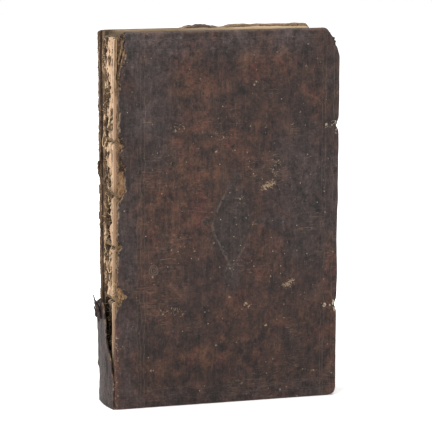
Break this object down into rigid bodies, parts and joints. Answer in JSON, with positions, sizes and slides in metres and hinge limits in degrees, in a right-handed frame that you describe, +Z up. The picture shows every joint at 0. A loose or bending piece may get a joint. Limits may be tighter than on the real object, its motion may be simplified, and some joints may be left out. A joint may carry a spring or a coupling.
{
  "type": "antique leather book",
  "caption": "Worn leather-bound book standing upright, its spine leather torn away to bare the sewn folds, with two hinged covers.",
  "frame": {"origin": "centre of the whole book's box, on the surface that it stands on", "axes": "+Z up, from tail to head; +X from the spine to the fore-edge; +Y from the front cover to the back cover"},
  "size_m": [0.128, 0.038, 0.2001],
  "materials": {
    "leather": "worn satin",
    "paper": "matte",
    "board": "matte",
    "cord": "matte",
    "tie": "matte",
    "torn_leather": "matte"
  },
  "bodies": {
    "pages": {"text_block": "paper", "sewing_cord_1": "cord", "sewing_cord_2": "cord", "sewing_cord_3": "cord", "sewing_cord_4": "cord", "spine_leather": "leather", "loose_strip": "torn_leather"},
    "front_cover": {"front_board": "board", "front_leather": "leather", "front_pastedown": "paper", "front_lacing_slips": "cord", "front_tie_stubs": "tie", "front_joint_strip": "torn_leather"},
    "back_cover": {"back_board": "board", "back_leather": "leather", "back_pastedown": "paper", "back_lacing_slips": "cord", "back_tie_stubs": "tie"}
  },
  "joints": [
    {"name": "front_joint", "type": "hinge", "parent": "pages", "child": "front_cover", "pos_m": [-0.06, -0.01725, 0.1], "axis": [0, 0, -1], "range_deg": [0, 120]},
    {"name": "back_joint", "type": "hinge", "parent": "pages", "child": "back_cover", "pos_m": [-0.06, 0.01725, 0.1], "axis": [0, 0, 1], "range_deg": [0, 120]}
  ]
}
